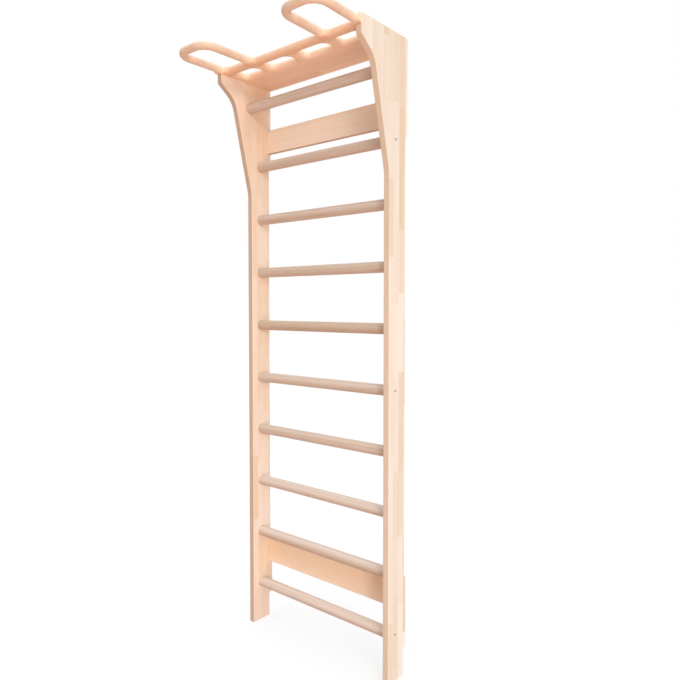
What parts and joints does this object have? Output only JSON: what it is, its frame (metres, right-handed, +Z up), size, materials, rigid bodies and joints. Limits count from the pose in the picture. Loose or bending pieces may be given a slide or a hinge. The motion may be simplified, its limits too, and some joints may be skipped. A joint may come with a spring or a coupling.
{
  "type": "wall bars",
  "caption": "Tall wooden wall bars with round rungs, flared uprights and a pull-up board on top with finger slots and forward loop handles.",
  "frame": {"origin": "on the floor, under the middle of the whole object's width and depth; the wall plane is at Y = +0.2365", "axes": "+Z up along the uprights, +X to the right seen from the front, -Y out into the room and +Y into the wall"},
  "size_m": [0.708, 0.473, 2.25],
  "materials": {
    "birch_panel": "satin lacquered birch, edge-glued finger-jointed staves",
    "birch_rung": "sanded, thinly lacquered turned birch",
    "birch_board": "satin lacquered birch board",
    "beech_dowel": "plain beech dowel",
    "zinc_screw": "zinc-plated steel"
  },
  "bodies": {
    "root": {"left_screw_rung_02": "zinc_screw", "left_screw_rung_06": "zinc_screw", "left_screw_rung_10": "zinc_screw", "left_upright": "birch_panel", "lower_board_dowel_left_high": "beech_dowel", "lower_board_dowel_left_low": "beech_dowel", "lower_board_dowel_right_high": "beech_dowel", "lower_board_dowel_right_low": "beech_dowel", "lower_mounting_board": "birch_board", "pull_up_board": "birch_board", "pull_up_board_dowel_left_back": "beech_dowel", "pull_up_board_dowel_left_front": "beech_dowel", "pull_up_board_dowel_left_middle": "beech_dowel", "pull_up_board_dowel_right_back": "beech_dowel", "pull_up_board_dowel_right_front": "beech_dowel", "pull_up_board_dowel_right_middle": "beech_dowel", "right_screw_rung_02": "zinc_screw", "right_screw_rung_06": "zinc_screw", "right_screw_rung_10": "zinc_screw", "right_upright": "birch_panel", "rung_01": "birch_rung", "rung_02": "birch_rung", "rung_03": "birch_rung", "rung_04": "birch_rung", "rung_05": "birch_rung", "rung_06": "birch_rung", "rung_07": "birch_rung", "rung_08": "birch_rung", "rung_09": "birch_rung", "rung_10": "birch_rung", "upper_board_dowel_left_high": "beech_dowel", "upper_board_dowel_left_low": "beech_dowel", "upper_board_dowel_right_high": "beech_dowel", "upper_board_dowel_right_low": "beech_dowel", "upper_mounting_board": "birch_board"}
  },
  "joints": []
}
